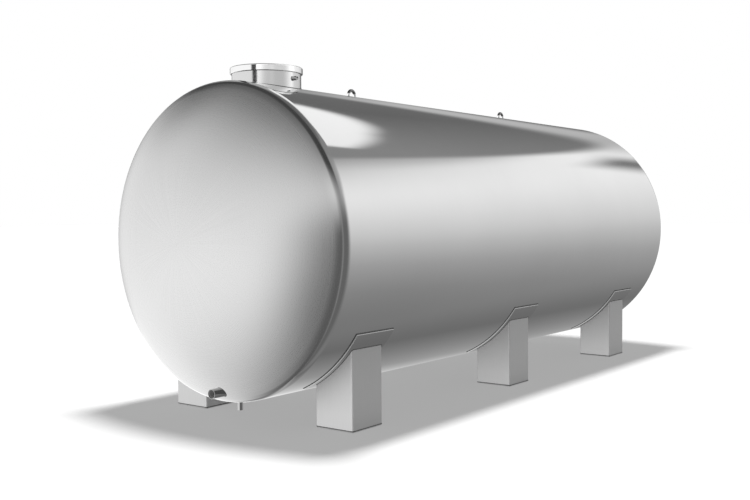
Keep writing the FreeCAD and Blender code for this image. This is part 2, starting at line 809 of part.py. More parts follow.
split_pin_place = size.manway_place + size.split_pin_place
split_pin_bottom = hinge_height - size.pin_head_radius
split_hole = cylinder(
    "split_hole",
    size.split_pin_radius,
    size.pin_head_radius * 2,
    (hinge_across, split_pin_place, split_pin_bottom),
)
pin_rod = along_hinge("pin_rod", size.pin_radius, -size.pin_half_length, size.pin_half_length * 2)
lug_outer_face = lug_place + size.lug_thickness * 0.5
pin_head = along_hinge(
    "pin_head",
    size.pin_head_radius,
    -(lug_outer_face + size.pin_head_thickness),
    size.pin_head_thickness,
)
keep("hinge_pin", cut("hinge_pin", fuse("hinge_pin_whole", pin_rod, pin_head), split_hole))
washer_start = (hinge_across, size.manway_place + lug_outer_face, hinge_height)
keep(
    "pin_washer",
    tube(
        "pin_washer",
        size.washer_radius,
        size.pin_radius,
        size.washer_thickness,
        washer_start,
        "+Y",
    ),
)
split_pin_eye = document.addObject("Part::Torus", "split_pin_eye")
set_sizes(split_pin_eye, Radius1=size.split_pin_radius * 2.5, Radius2=size.split_pin_radius)
place(
    split_pin_eye,
    (hinge_across, split_pin_place, hinge_height + size.pin_head_radius + size.split_pin_radius * 2.5),
    "+Y",
)
keep("split_pin", fuse("split_pin", split_hole, split_pin_eye))


# --- lifting eyes --------------------------------------------------------------------------

anchor_top_radius = VESSEL_RADIUS + size.anchor_thickness
anchor_space = barrel_cylinder("anchor_space", anchor_top_radius)
for eye_name, end in ENDS:
    eye_height = size.jacket_radius - VESSEL_RADIUS + size.eye_rise
    bow = rod_bow(
        f"lifting_eye_{eye_name}_blank",
        size.eye_half_span,
        eye_height,
        size.eye_half_span,
        size.eye_rod,
    )
    place(bow, (0, size.eye_place * end, size.axis_height + VESSEL_RADIUS))
    keep(f"lifting_eye_{eye_name}", cut(f"lifting_eye_{eye_name}", bow, anchor_space))
    collar_blanks = []
    for collar, side in (("a", -1), ("b", 1)):
        collar_start = (
            0,
            size.eye_place * end + size.eye_half_span * side,
            size.axis_height + FOAM_RADIUS,
        )
        collar_length = size.jacket_wall + size.collar_rise
        name = f"collar_{eye_name}_{collar}"
        collar_blanks.append(
            tube(name, size.collar_radius, size.eye_rod, collar_length, collar_start)
        )
    collars = fuse(f"collars_{eye_name}", *collar_blanks)
    keep(f"eye_collars_{eye_name}", cut(f"eye_collars_{eye_name}", collars, jacket_space))


# --- outlet pipe, drain nipple and its plug ------------------------------------------------

outlet_bore = cylinder(
    "outlet_bore", size.outlet_radius - size.outlet_wall, outlet_length, outlet_start, "+Y"
)
keep("outlet_pipe", cut("outlet_pipe", outlet_space, outlet_bore))

drain_bore_radius = size.drain_radius - size.drain_wall
drain_bore = cylinder("drain_bore", drain_bore_radius, drain_length, drain_start)
keep("drain_nipple", cut("drain_nipple", drain_space, drain_bore, milk_space))

plug_radius = drain_bore_radius - size.plug_clearance
plug_blank = cylinder("plug_blank", plug_radius, size.plug_length, drain_start)
plug_socket = document.addObject("Part::Prism", "plug_socket")
plug_socket.Polygon = 6
set_sizes(plug_socket, Circumradius=size.plug_socket_radius, Height=size.plug_socket_depth)
place(plug_socket, drain_start)
keep("drain_plug", cut("drain_plug", plug_blank, plug_socket))
keep(
    "plug_seal",
    tube(
        "plug_seal",
        plug_radius,
        size.seal_inner,
        size.seal_thickness,
        (0, size.drain_place, size.drain_tip + size.plug_length),
    ),
)


# --- check and write -----------------------------------------------------------------------

document.recompute()
for item in document.Objects:
    if {"Invalid", "Error"} & set(item.State):
        raise RuntimeError(f"{item.Label} did not compute: {item.State}")
for item in subparts:
    if item.Shape.isNull() or not item.Shape.isValid() or not item.Shape.Solids:
        raise RuntimeError(f"{item.Label} has no valid solid")

os.makedirs("parts", exist_ok=True)
for item in subparts:
    item.Shape.exportStep(f"parts/{item.Label}.step")
print(f"{len(subparts)} sub-parts written")
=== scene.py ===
import math
from collections import namedtuple

import bmesh
import bpy
from mathutils import Matrix, Vector


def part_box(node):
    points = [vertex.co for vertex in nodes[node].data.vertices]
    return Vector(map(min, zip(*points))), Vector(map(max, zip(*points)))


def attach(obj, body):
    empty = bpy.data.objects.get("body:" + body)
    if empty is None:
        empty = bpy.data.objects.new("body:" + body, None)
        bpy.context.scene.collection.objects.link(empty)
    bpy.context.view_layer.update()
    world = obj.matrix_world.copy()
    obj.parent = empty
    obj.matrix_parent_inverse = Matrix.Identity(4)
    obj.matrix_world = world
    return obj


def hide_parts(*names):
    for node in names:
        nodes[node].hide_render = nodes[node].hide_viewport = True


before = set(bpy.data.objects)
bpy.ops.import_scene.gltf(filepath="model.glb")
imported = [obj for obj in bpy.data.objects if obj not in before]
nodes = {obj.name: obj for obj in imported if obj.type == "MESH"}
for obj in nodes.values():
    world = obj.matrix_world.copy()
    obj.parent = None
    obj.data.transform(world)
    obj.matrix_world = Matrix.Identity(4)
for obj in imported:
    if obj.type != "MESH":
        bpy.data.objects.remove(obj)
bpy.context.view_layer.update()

scene = bpy.context.scene


# ---------------------------------------------------------------------------
# Sizes worked out from the frame, in metres
# ---------------------------------------------------------------------------

barrel_low, barrel_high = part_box("jacket_barrel")
RADIUS = (barrel_high.x - barrel_low.x) / 2
AXIS_Z = barrel_low.z + RADIUS
REAR_SEAM = barrel_high.y
FRONT_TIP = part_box("jacket_front_head")[0].y


# ---------------------------------------------------------------------------
# Small helpers for node trees
# ---------------------------------------------------------------------------

def grey_to_light(grey):
    """Linear light that shows as this 0-255 grey."""
    value = grey / 255
    return value / 12.92 if value <= 0.04045 else ((value + 0.055) / 1.055) ** 2.4


class Tree:
    """A node tree with short calls for the nodes used here."""

    def __init__(self, owner):
        owner.use_nodes = True
        self.tree = owner.node_tree
        self.tree.nodes.clear()

    def node(self, kind, **settings):
        made = self.tree.nodes.new(kind)
        for name, value in settings.items():
            setattr(made, name, value)
        return made

    def join(self, source, target):
        self.tree.links.new(source, target)

    def feed(self, socket, value):
        """Links a socket or sets a plain value."""
        if isinstance(value, bpy.types.NodeSocket):
            self.join(value, socket)
        else:
            socket.default_value = value

    def math(self, operation, first, second=None, third=None):
        made = self.node("ShaderNodeMath", operation=operation)
        for socket, value in zip(made.inputs, (first, second, third)):
            if value is not None:
                self.feed(socket, value)
        return made.outputs[0]

    def vector(self, operation, first, second=None):
        made = self.node("ShaderNodeVectorMath", operation=operation)
        for socket, value in zip(made.inputs, (first, second)):
            if value is not None:
                self.feed(socket, value)
        gives_number = operation in ("DOT_PRODUCT", "LENGTH")
        return made.outputs["Value" if gives_number else "Vector"]

    def scaled(self, vector, size):
        return self.vector("MULTIPLY", vector, (size, size, size))

    def smooth(self, value, low, high, to_low=0.0, to_high=1.0):
        """A smooth step from to_low, at low, to to_high, at high."""
        made = self.node("ShaderNodeMapRange", interpolation_type="SMOOTHSTEP")
        self.feed(made.inputs["Value"], value)
        made.inputs["From Min"].default_value = low
        made.inputs["From Max"].default_value = high
        made.inputs["To Min"].default_value = to_low
        made.inputs["To Max"].default_value = to_high
        return made.outputs[0]

    def fade(self, value, low, high):
        """A smooth step down, from one at low to nothing at high."""
        return self.smooth(value, low, high, 1.0, 0.0)

    def stretch(self, value, low, high, to_low, to_high):
        """A straight line from to_low, at low, to to_high, at high, held beyond both."""
        made = self.node("ShaderNodeMapRange")
        self.feed(made.inputs["Value"], value)
        made.inputs["From Min"].default_value = low
        made.inputs["From Max"].default_value = high
        made.inputs["To Min"].default_value = to_low
        made.inputs["To Max"].default_value = to_high
        return made.outputs[0]

    def blend(self, share, first, second):
        """A number between first and second: first where share is nothing."""
        made = self.node("ShaderNodeMix", data_type="FLOAT")
        self.feed(made.inputs[0], share)
        self.feed(made.inputs[2], first)
        self.feed(made.inputs[3], second)
        return made.outputs[0]

    def blend_vectors(self, share, first, second):
        made = self.node("ShaderNodeMix", data_type="VECTOR")
        self.feed(made.inputs[0], share)
        self.feed(made.inputs[4], first)
        self.feed(made.inputs[5], second)
        return made.outputs[1]

    def split(self, vector):
        made = self.node("ShaderNodeSeparateXYZ")
        self.join(vector, made.inputs[0])
        return made.outputs[0], made.outputs[1], made.outputs[2]

    def combine(self, x, y, z):
        made = self.node("ShaderNodeCombineXYZ")
        for socket, value in zip(made.inputs, (x, y, z)):
            self.feed(socket, value)
        return made.outputs[0]

    def grey_curve(self, value, low, high, stops, scale=2.0):
        """A smooth curve through (place, light) stops between low and high."""
        ramp = self.node("ShaderNodeValToRGB")
        ramp.color_ramp.interpolation = "B_SPLINE" if len(stops) > 3 else "LINEAR"
        elements = ramp.color_ramp.elements
        while len(elements) < len(stops):
            elements.new(0.5)
        for element, (place, light) in zip(elements, stops):
            element.position = (place - low) / (high - low)
            element.color = (light / scale,) * 3 + (1.0,)
        self.join(self.stretch(value, low, high, 0.0, 1.0), ramp.inputs[0])
        return self.math("MULTIPLY", ramp.outputs[0], scale)

    def noise(self, vector, scale, detail=2.0, roughness=0.5):
        made = self.node("ShaderNodeTexNoise")
        self.join(vector, made.inputs["Vector"])
        made.inputs["Scale"].default_value = scale
        made.inputs["Detail"].default_value = detail
        made.inputs["Roughness"].default_value = roughness
        return made.outputs[0]


# ---------------------------------------------------------------------------
# Studio: camera, surroundings, floor and lights
# ---------------------------------------------------------------------------

STEEL_REFLECTANCE = 0.60


def surround_light(grey):
    """Light from a direction that plain steel shows as this grey."""
    return grey_to_light(grey) / STEEL_REFLECTANCE


CAMERA_PLACE = (4.4103, -6.6380, 1.3361)
CAMERA_TURN = 37.09     # degrees from straight at the front head
CAMERA_TILT = 87.73     # 90 is level
CAMERA_ROLL = -0.35
LENS = 46.85            # millimetres, on a 36 mm sensor


def make_camera():
    data = bpy.data.cameras.new("camera")
    data.sensor_width = 36.0
    data.lens = LENS
    data.clip_end = 200.0
    camera = bpy.data.objects.new("camera", data)
    scene.collection.objects.link(camera)
    camera.location = CAMERA_PLACE
    tilt = Matrix.Rotation(math.radians(CAMERA_TILT), 4, "X")
    turn = Matrix.Rotation(math.radians(CAMERA_TURN), 4, "Z")
    roll = Matrix.Rotation(math.radians(CAMERA_ROLL), 4, "Z")
    camera.rotation_euler = (turn @ tilt @ roll).to_euler()
    scene.camera = camera


# All angles are in degrees. Azimuth 0 is in front of the tank, 90 on its right and 180
# behind it. A grey is the 0-255 grey that plain steel shows where it mirrors that light.

# Elevation and grey, in front of the tank and behind it
FRONT_GRADIENT = (
    (-90, 140), (-66, 166), (-50, 197), (-32, 224), (-14, 232), (0, 224), (14, 214),
    (26, 205), (37, 186), (50, 150), (62, 110), (76, 96), (90, 90),
)
REAR_GRADIENT = (
    (-90, 118), (-42, 110), (-24, 128), (-12, 152), (-3, 180), (4, 202), (10, 212),
    (18, 230), (25, 221), (31, 184), (38, 162), (45, 150), (60, 100), (90, 90),
)
# How far the gradients slide down, as (azimuth, degrees) at both ends of the slide
FRONT_SLIDE = ((-112, 13), (-70, 0))
REAR_SLIDE = ((146, 0), (170, 5))
# The rear gradient's middle azimuth, and how far from it the front one takes over
REAR_MIDDLE = 165
REAR_REACH = (66, 80)

# The dark side of the room, right of the front: the way it lies, how far along that way
# it sets in, and where it ends in elevation and azimuth
DARK_SIDE_WAY = (0.863, 0.385, -0.323)
DARK_SIDE_ONSET = (-0.36, 0.26)
DARK_SIDE_TOP = (2, 26)
DARK_SIDE_END = (52, 66)
DARK_SIDE_GREY = 84

# The dark ceiling in front: the angle from an axis, and the height, over which it darkens
CEILING_AXIS = (-0.423, -0.906, 0.0)
CEILING_ONSET = (47, 76)
CEILING_HEIGHT = (20, 46)
CEILING_GREY = 62

# The floor behind the tank: its azimuths (counted on past 180) and greys, then where it
# fades in and out in azimuth and out in elevation
BELLY = ((182, 102), (206, 137), (222, 182))
BELLY_START = (164, 183)
BELLY_END = (214, 226)
BELLY_TOP = (-10, -2)

# A soft card: centre and half width in azimuth, low and high elevation, and how soft
# each edge is. A leaning card turns back by LEAN for each degree above LEAN_FROM.
CARD_FIELDS = "centre half soft low soft_low high soft_high grey leans"
Card = namedtuple("Card", CARD_FIELDS, defaults=(False,))
LEAN = 2.4
LEAN_FROM = 26.8
STUDIO_CARDS = (
    Card(-125, 12, 9, -34, 14, 10, 7, 246),
    Card(-150, 24, 9, -6, 4, 60, 1, 158),
    Card(-150, 33, 18, 28.7, 2.2, 60, 1, 125, leans=True),
    Card(-183.2, 3.4, 3.2, 10, 4, 24.1, 1.3, 112),
    Card(-128, 14, 8, -10, 4, 24, 6, 100),
    Card(-158, 12, 5, -5, 2, 13, 4, 95),
    Card(85, 34, 22, -90, 1, 30, 22, 95),
)
# The dark ceiling over the rear: a card whose grey runs from one azimuth to another
REAR_CEILING = Card(-150, 31, 2.8, 21.8, 2.4, 60, 1, ((168, 128), (200, 93)), leans=True)

# The window in that ceiling, whose lower edge sags by WINDOW_SAG for each degree of
# azimuth away from 180
WINDOW = Card(-168, 24.7, 0.9, 37.45, 0.95, 58, 4, 232)
WINDOW_SAG = 0.06


def make_surroundings():
    """Soft studio surroundings worked out from the direction alone."""
    world = bpy.data.worlds.new("studio")
    world.cycles.sampling_method = "NONE"
    scene.world = world
    tree = Tree(world)
    direction = tree.node("ShaderNodeTexCoord").outputs["Generated"]
    x, y, z = tree.split(direction)
    elevation = tree.math("DEGREES", tree.math("ARCSINE", z))
    azimuth = tree.math("DEGREES", tree.math("ARCTAN2", x, tree.math("MULTIPLY", y, -1.0)))
    round_azimuth = tree.math("WRAP", azimuth, 360.0, 0.0)

    def product(first, *others):
        for other in others:
            first = tree.math("MULTIPLY", first, other)
        return first

    def lit(stops):
        return [(place, surround_light(grey)) for place, grey in stops]

    def line(value, ends):
        (low, to_low), (high, to_high) = ends
        return tree.stretch(value, low, high, to_low, to_high)

    def away_from(centre, back=0.0):
        turned = tree.math("SUBTRACT", tree.math("ADD", azimuth, back), centre)
        return tree.math("ABSOLUTE", tree.math("WRAP", turned, 180.0, -180.0))

    def share_of(card, height):
        """How much of a direction the card fills. Its lower edge is measured in height."""
        back = 0.0
        if card.leans:
            back = tree.math("MULTIPLY", tree.math("SUBTRACT", elevation, LEAN_FROM), LEAN)
        away = away_from(card.centre, back)
        return product(tree.fade(away, card.half - card.soft, card.half + card.soft),
                       tree.smooth(height, card.low - card.soft_low, card.low + card.soft_low),
                       tree.fade(elevation, card.high - card.soft_high, card.high + card.soft_high))

    raised = tree.math("ADD", elevation, line(azimuth, FRONT_SLIDE))
    light = tree.grey_curve(raised, -90, 90, lit(FRONT_GRADIENT))

    along = tree.vector("DOT_PRODUCT", direction, DARK_SIDE_WAY)
    dark = product(tree.smooth(along, *DARK_SIDE_ONSET), tree.fade(elevation, *DARK_SIDE_TOP),
                   tree.fade(azimuth, *DARK_SIDE_END))
    light = tree.blend(dark, light, surround_light(DARK_SIDE_GREY))

    cosine = tree.vector("DOT_PRODUCT", direction, CEILING_AXIS)
    off_axis = tree.math("DEGREES", tree.math("ARCCOSINE", cosine))
    dark = product(tree.smooth(off_axis, *CEILING_ONSET), tree.smooth(raised, *CEILING_HEIGHT))
    light = tree.blend(dark, light, surround_light(CEILING_GREY))

    lowered = tree.math("SUBTRACT", elevation, line(round_azimuth, REAR_SLIDE))
    rear = tree.grey_curve(lowered, -90, 90, lit(REAR_GRADIENT))
    light = tree.blend(tree.fade(away_from(REAR_MIDDLE), *REAR_REACH), light, rear)

    belly = tree.grey_curve(round_azimuth, BELLY[0][0], BELLY[-1][0], lit(BELLY))
    share = product(tree.smooth(round_azimuth, *BELLY_START),
                    tree.fade(round_azimuth, *BELLY_END), tree.fade(elevation, *BELLY_TOP))
    light = tree.blend(share, light, belly)

    for card in STUDIO_CARDS:
        light = tree.blend(share_of(card, elevation), light, surround_light(card.grey))
    ceiling = line(round_azimuth, lit(REAR_CEILING.grey))
    light = tree.blend(share_of(REAR_CEILING, elevation), light, ceiling)
    sagging = tree.math("ADD", elevation, tree.math("MULTIPLY", away_from(180), WINDOW_SAG))
    light = tree.blend(share_of(WINDOW, sagging), light, surround_light(WINDOW.grey))

    seen = tree.node("ShaderNodeLightPath").outputs["Is Camera Ray"]
    background = tree.node("ShaderNodeBackground")
    tree.join(tree.blend(seen, light, 1.0), background.inputs["Color"])
    output = tree.node("ShaderNodeOutputWorld")
    tree.join(background.outputs[0], output.inputs[0])


def make_object(name, verts, faces):
    mesh = bpy.data.meshes.new(name)
    mesh.from_pydata(verts, [], faces)
    made = bpy.data.objects.new(name, mesh)
    scene.collection.objects.link(made)
    return made


def show_only_in(made, *kinds):
    """Hides a studio prop from every kind of ray but these."""
    for kind in ("camera", "diffuse", "glossy", "transmission", "shadow"):
        setattr(made, f"visible_{kind}", kind in kinds)


QUAD = [(0, 1, 2, 3)]
FLOOR_REACH = 80.0
FLOOR_COLOUR = 0.12
FLOOR_GLOW = 0.36


def make_floor():
    """A pale floor whose own faint glow keeps the tank's shadow a light grey."""
    reach = FLOOR_REACH
    corners = [(-reach, -reach, 0), (reach, -reach, 0), (reach, reach, 0), (-reach, reach, 0)]
    floor = make_object("floor", corners, QUAD)
    floor.visible_glossy = False
    floor.visible_shadow = False
    material = bpy.data.materials.new("pale_floor")
    tree = Tree(material)
    diffuse = tree.node("ShaderNodeBsdfDiffuse")
    diffuse.inputs["Color"].default_value = (FLOOR_COLOUR,) * 3 + (1,)
    glow = tree.node("ShaderNodeEmission")
    glow.inputs["Color"].default_value = (1, 1, 1, 1)
    glow.inputs["Strength"].default_value = FLOOR_GLOW
    both = tree.node("ShaderNodeAddShader")
    tree.join(diffuse.outputs[0], both.inputs[0])
    tree.join(glow.outputs[0], both.inputs[1])
    output = tree.node("ShaderNodeOutputMaterial")
    tree.join(both.outputs[0], output.inputs[0])
    floor.data.materials.append(material)
    return floor


def make_lamp(name, azimuth, elevation, width, light, lit):
    """A far round lamp, width degrees across, whose light falls on the lit objects only."""
    lamp = bpy.data.lights.new(name, "SUN")
    lamp.angle = math.radians(width)
    lamp.energy = light * math.pi * math.sin(lamp.angle / 2) ** 2
    made = bpy.data.objects.new(name, lamp)
    made.rotation_euler = (math.radians(90 - elevation), 0, math.radians(azimuth))
    scene.collection.objects.link(made)
    receivers = bpy.data.collections.new(name + "_lights")
    for target in lit:
        receivers.objects.link(target)
    made.light_linking.receiver_collection = receivers


def make_flag(name, centre, azimuth, half_width, half_height, grey):
    """An upright card that only reflections see, facing the tank from that azimuth."""
    turn = math.radians(azimuth)
    side = Vector((math.cos(turn), math.sin(turn), 0)) * half_width
    rise = Vector((0, 0, half_height))
    low, high = Vector(centre) - rise, Vector(centre) + rise
    flag = make_object(name, [low - side, low + side, high + side, high - side], QUAD)
    show_only_in(flag, "glossy")
    material = bpy.data.materials.new(name)
    tree = Tree(material)
    glow = tree.node("ShaderNodeEmission")
    glow.inputs["Color"].default_value = (surround_light(grey),) * 3 + (1,)
    output = tree.node("ShaderNodeOutputMaterial")
    tree.join(glow.outputs[0], output.inputs[0])
    flag.data.materials.append(material)


BOARD_HALF_WIDTH = 1.105
BOARD_REACH = 2.826     # from the middle to the tip of a bowed end
BOARD_BOW = 0.125       # how much shorter the end is a metre to either side
BOARD_FLAT_TO = 2.3     # where the board starts to curl up
BOARD_HEIGHT = 1.0
LIP_HEIGHT = 1.8
BOARD_COLUMNS = 17


def make_shadow_board():
    """A board that squares up the overhead lamp's soft shadow; its bowed ends curl up."""
    half_count = (BOARD_COLUMNS - 1) // 2
    columns = [BOARD_HALF_WIDTH * (i / half_count - 1) for i in range(BOARD_COLUMNS)]
    verts = [(x, -BOARD_REACH + BOARD_BOW * x ** 2, LIP_HEIGHT) for x in columns]
    verts += [(x, -BOARD_FLAT_TO, BOARD_HEIGHT) for x in columns]
    verts += [(x, BOARD_FLAT_TO, BOARD_HEIGHT) for x in columns]
    verts += [(x, BOARD_REACH - BOARD_BOW * x ** 2, LIP_HEIGHT) for x in columns]
    starts = [row * BOARD_COLUMNS + i for row in range(3) for i in range(BOARD_COLUMNS - 1)]
    faces = [(i, i + 1, i + 1 + BOARD_COLUMNS, i + BOARD_COLUMNS) for i in starts]
    board = make_object("shadow_board", verts, faces)
    show_only_in(board, "shadow")


# ---------------------------------------------------------------------------
# Materials
# ---------------------------------------------------------------------------

HEAD_CENTRE_Y = 1.1985      # centre of a head's dished crown from the tank's middle
CROWN_EDGE = 0.970          # radius where the crown meets the knuckle
KNUCKLE_CENTRE = 0.920      # radius of the knuckle's centre line


NOISE_RANGE = (0.3, 0.7)    # where nearly all values of a noise texture lie


class Steel(Tree):
    """A stainless steel material: one metallic shader, fed by the functions below."""

    def __init__(self, name, grey, rough):
        self.material = bpy.data.materials.new(name)
        super().__init__(self.material)
        self.place = self.node("ShaderNodeTexCoord").outputs["Object"]
        self.x, self.y, self.z = self.split(self.place)
        self.shader = self.node("ShaderNodeBsdfPrincipled")
        self.shader.inputs["Metallic"].default_value = 1.0
        output = self.node("ShaderNodeOutputMaterial")
        self.join(self.shader.outputs[0], output.inputs[0])
        cloudy = self.noise(self.place, 1.7, 3.0)
        self.grey = self.stretch(cloudy, *NOISE_RANGE, grey * 0.985, grey * 1.015)
        self.rough = self.stretch(cloudy, *NOISE_RANGE, rough * 0.95, rough * 1.05)
        self.height = None

    def grain(self, vector, colour=0.02, rough=0.02, height=0.3):
        """Fine lines from noise stretched in vector: they tint, roughen and emboss the steel."""
        lines = self.noise(vector, 1.0, 3.0, 0.6)
        tint = self.stretch(lines, *NOISE_RANGE, 1 - colour, 1 + colour)
        self.grey = self.math("MULTIPLY", self.grey, tint)
        self.rough = self.math("ADD", self.rough, self.stretch(lines, *NOISE_RANGE, -rough, rough))
        self.raise_by(lines, height)

    def raise_by(self, value, height):
        part = self.math("MULTIPLY", value, height)
        self.height = part if self.height is None else self.math("ADD", self.height, part)

    def true_normal(self, ideal):
        """The exact outward direction, wherever the mesh's own normal is close to it."""
        own = self.node("ShaderNodeNewGeometry").outputs["Normal"]
        likeness = self.vector("DOT_PRODUCT", ideal, own)
        facing = self.math("SIGN", likeness)
        ideal = self.vector("MULTIPLY", ideal, self.combine(facing, facing, facing))
        close = self.smooth(self.math("ABSOLUTE", likeness), 0.88, 0.93)
        return self.blend_vectors(close, own, ideal)

    def finish(self, normal=None, millimetres=0.01):
        self.join(self.combine(self.grey, self.grey, self.grey), self.shader.inputs["Base Color"])
        self.join(self.rough, self.shader.inputs["Roughness"])
        if self.height is not None:
            bump = self.node("ShaderNodeBump")
            bump.inputs["Strength"].default_value = 0.5
            bump.inputs["Distance"].default_value = millimetres / 1000
            self.join(self.height, bump.inputs["Height"])
            if normal is not None:
                self.join(normal, bump.inputs["Normal"])
            normal = bump.outputs[0]
        if normal is not None:
            self.join(normal, self.shader.inputs["Normal"])
        return self.material


def round_the_axis(tree):
    """How far a point is from the tank's axis, and its direction across the axis."""
    up = tree.math("SUBTRACT", tree.z, AXIS_Z)
    across = tree.combine(tree.x, 0.0, up)
    radius = tree.vector("LENGTH", across)
    return radius, tree.vector("NORMALIZE", across)


def polished_jacket():
    """Rolled sheet, polished round the tank: bright, with hair lines round the barrel."""
    tree = Steel("polished_jacket", 0.60, 0.055)
    around = round_the_axis(tree)[1]
    lines_a_metre = 700.0
    along = tree.combine(0.0, tree.math("MULTIPLY", tree.y, lines_a_metre), 0.0)
    tree.grain(tree.vector("ADD", tree.scaled(around, 3.0), along), 0.012, 0.008, 0.2)
    wide_waves = tree.noise(tree.place, 1.4, 1.0)
    tree.raise_by(wide_waves, 14.0)
    return tree.finish(tree.true_normal(around))


def brushed_head():
    """A dished end, brushed in circles, with rays round the middle and a smoother rim."""
    tree = Steel("brushed_head", 0.60, 0.27)
    radius, around = round_the_axis(tree)

    rays = tree.noise(tree.scaled(around, 11.0), 1.0, 2.0, 0.7)
    reach = tree.math("MULTIPLY", tree.smooth(radius, 0.01, 0.07), tree.fade(radius, 0.30, 0.75))
    ray = tree.math("MULTIPLY", tree.stretch(rays, 0.35, 0.65, -1.0, 1.0), reach)
    tint = tree.math("ADD", tree.math("MULTIPLY", ray, 0.022), 1.0)
    tree.grey = tree.math("MULTIPLY", tree.grey, tint)
    tree.rough = tree.math("ADD", tree.rough, tree.math("MULTIPLY", ray, 0.03))

    circles_a_metre = 650.0
    outward = tree.combine(0.0, tree.math("MULTIPLY", radius, circles_a_metre), 0.0)
    tree.grain(tree.vector("ADD", tree.scaled(around, 2.5), outward), 0.018, 0.02, 0.25)
    smooth_rim = 0.12
    tree.rough = tree.blend(tree.smooth(radius, 0.93, 0.975), tree.rough, smooth_rim)
    tree.shader.inputs["Anisotropic"].default_value = 0.45
    tree.join(around, tree.shader.inputs["Tangent"])

    # the crown is part of a ball and the knuckle part of a ring, each with an exact normal
    side = tree.math("SIGN", tree.y)
    ball_centre = tree.combine(0.0, tree.math("MULTIPLY", side, HEAD_CENTRE_Y), AXIS_Z)
    ball = tree.vector("NORMALIZE", tree.vector("SUBTRACT", tree.place, ball_centre))
    seam_centre = tree.combine(0.0, tree.math("MULTIPLY", side, REAR_SEAM), AXIS_Z)
    ring_centre = tree.vector("ADD", seam_centre, tree.scaled(around, KNUCKLE_CENTRE))
    ring = tree.vector("NORMALIZE", tree.vector("SUBTRACT", tree.place, ring_centre))
    on_knuckle = tree.math("GREATER_THAN", radius, CROWN_EDGE)
    return tree.finish(tree.true_normal(tree.blend_vectors(on_knuckle, ball, ring)))


def plain_steel(name, grey, rough, stretch, colour=0.02, rough_lines=0.02, height=0.3):
    """Steel whose fine grain runs along the axis that stretch scales least."""
    tree = Steel(name, grey, rough)
    tree.grain(tree.vector("MULTIPLY", tree.place, stretch), colour, rough_lines, height)
    return tree.finish()


def matt_steel(name, grey, rough, stretch):
    """Blasted steel: mostly a soft diffuse grey, with painted shade higher up and fine streaks
    along one axis.
    """
    tree = Steel(name, grey, rough)
    tree.shader.inputs["Metallic"].default_value = 0.15
    # painted shade: lighter at the foot and darker higher up, where the legs meet the belly and its
    # shade falls
    tree.grey = tree.math("MULTIPLY", tree.grey, tree.stretch(tree.z, 0.1, 0.75, 1.05, 0.62))
    tree.grain(tree.vector("MULTIPLY", tree.place, stretch), 0.03, 0.03, 0.4)
    return tree.finish()


def eye_steel():
    """Round bar, dark over the bow and bright down its legs."""
    tree = Steel("eye_steel", 0.20, 0.10)
    tree.grain(tree.vector("MULTIPLY", tree.place, (300, 300, 300)))
    bow_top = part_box("lifting_eye_front")[1].z
    on_bow = tree.smooth(tree.z, bow_top - 0.036, bow_top - 0.032)
    tree.grey = tree.blend(on_bow, 0.95, tree.grey)
    return tree.finish()


def dull_bore(name):
    """Pipe steel along Y, smooth outside and dull and pale inside its bore."""
    low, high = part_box("outlet_pipe")
    tree = Steel(name, 0.40, 0.12)
    tree.grain(tree.vector("MULTIPLY", tree.place, (500, 40, 500)))
    centre = ((low.x + high.x) / 2, 0.0, (low.z + high.z) / 2)
    off = tree.vector("MULTIPLY", tree.vector("SUBTRACT", tree.place, centre), (1.0, 0.0, 1.0))
    outside = (high.x - low.x) / 2
    inside = tree.fade(tree.vector("LENGTH", off), outside - 0.0026, outside - 0.0022)
    tree.rough = tree.blend(inside, tree.rough, 0.55)
    tree.join(tree.blend(inside, 1.0, 0.3), tree.shader.inputs["Metallic"])
    return tree.finish()


def round_steel(name, grey, rough, centre):
    """Steel brushed round an upright axis, as a neck or a lid is on a lathe."""
    tree = Steel(name, grey, rough)
    from_centre = tree.vector("SUBTRACT", tree.place, centre)
    x, y, z = tree.split(from_centre)
    flat = tree.combine(x, y, 0.0)
    radius = tree.vector("LENGTH", flat)
    lines_a_metre = 500.0
    rings = tree.combine(tree.math("MULTIPLY", radius, lines_a_metre), 0.0,
                         tree.math("MULTIPLY", z, lines_a_metre))
    around = tree.scaled(tree.vector("NORMALIZE", flat), 2.0)
    tree.grain(tree.vector("ADD", around, rings), 0.015, 0.015, 0.06)
    return tree.finish()


def soft_solid(name, colour, rough, speck_size, depth):
    """Foam, plastic or rubber: speckled colour over a fine pitted surface."""
    material = bpy.data.materials.new(name)
    tree = Tree(material)
    place = tree.node("ShaderNodeTexCoord").outputs["Object"]
    shader = tree.node("ShaderNodeBsdfPrincipled")
    speck = tree.noise(place, 1 / speck_size, 4.0)
    tint = tree.node("ShaderNodeMix", data_type="RGBA")
    tree.join(speck, tint.inputs[0])
    tint.inputs[6].default_value = tuple(c * 0.8 for c in colour) + (1,)
    tint.inputs[7].default_value = tuple(min(c * 1.2, 1) for c in colour) + (1,)
    tree.join(tint.outputs[2], shader.inputs["Base Color"])
    spotted = tree.stretch(speck, *NOISE_RANGE, rough - 0.06, rough + 0.06)
    tree.join(spotted, shader.inputs["Roughness"])
    bump = tree.node("ShaderNodeBump")
    bump.inputs["Distance"].default_value = depth
    tree.join(speck, bump.inputs["Height"])
    tree.join(bump.outputs[0], shader.inputs["Normal"])
    output = tree.node("ShaderNodeOutputMaterial")
    tree.join(shader.outputs[0], output.inputs[0])
    return material


neck_low, neck_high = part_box("manway_neck")
MANWAY = Vector(((neck_low.x + neck_high.x) / 2, (neck_low.y + neck_high.y) / 2, neck_high.z))

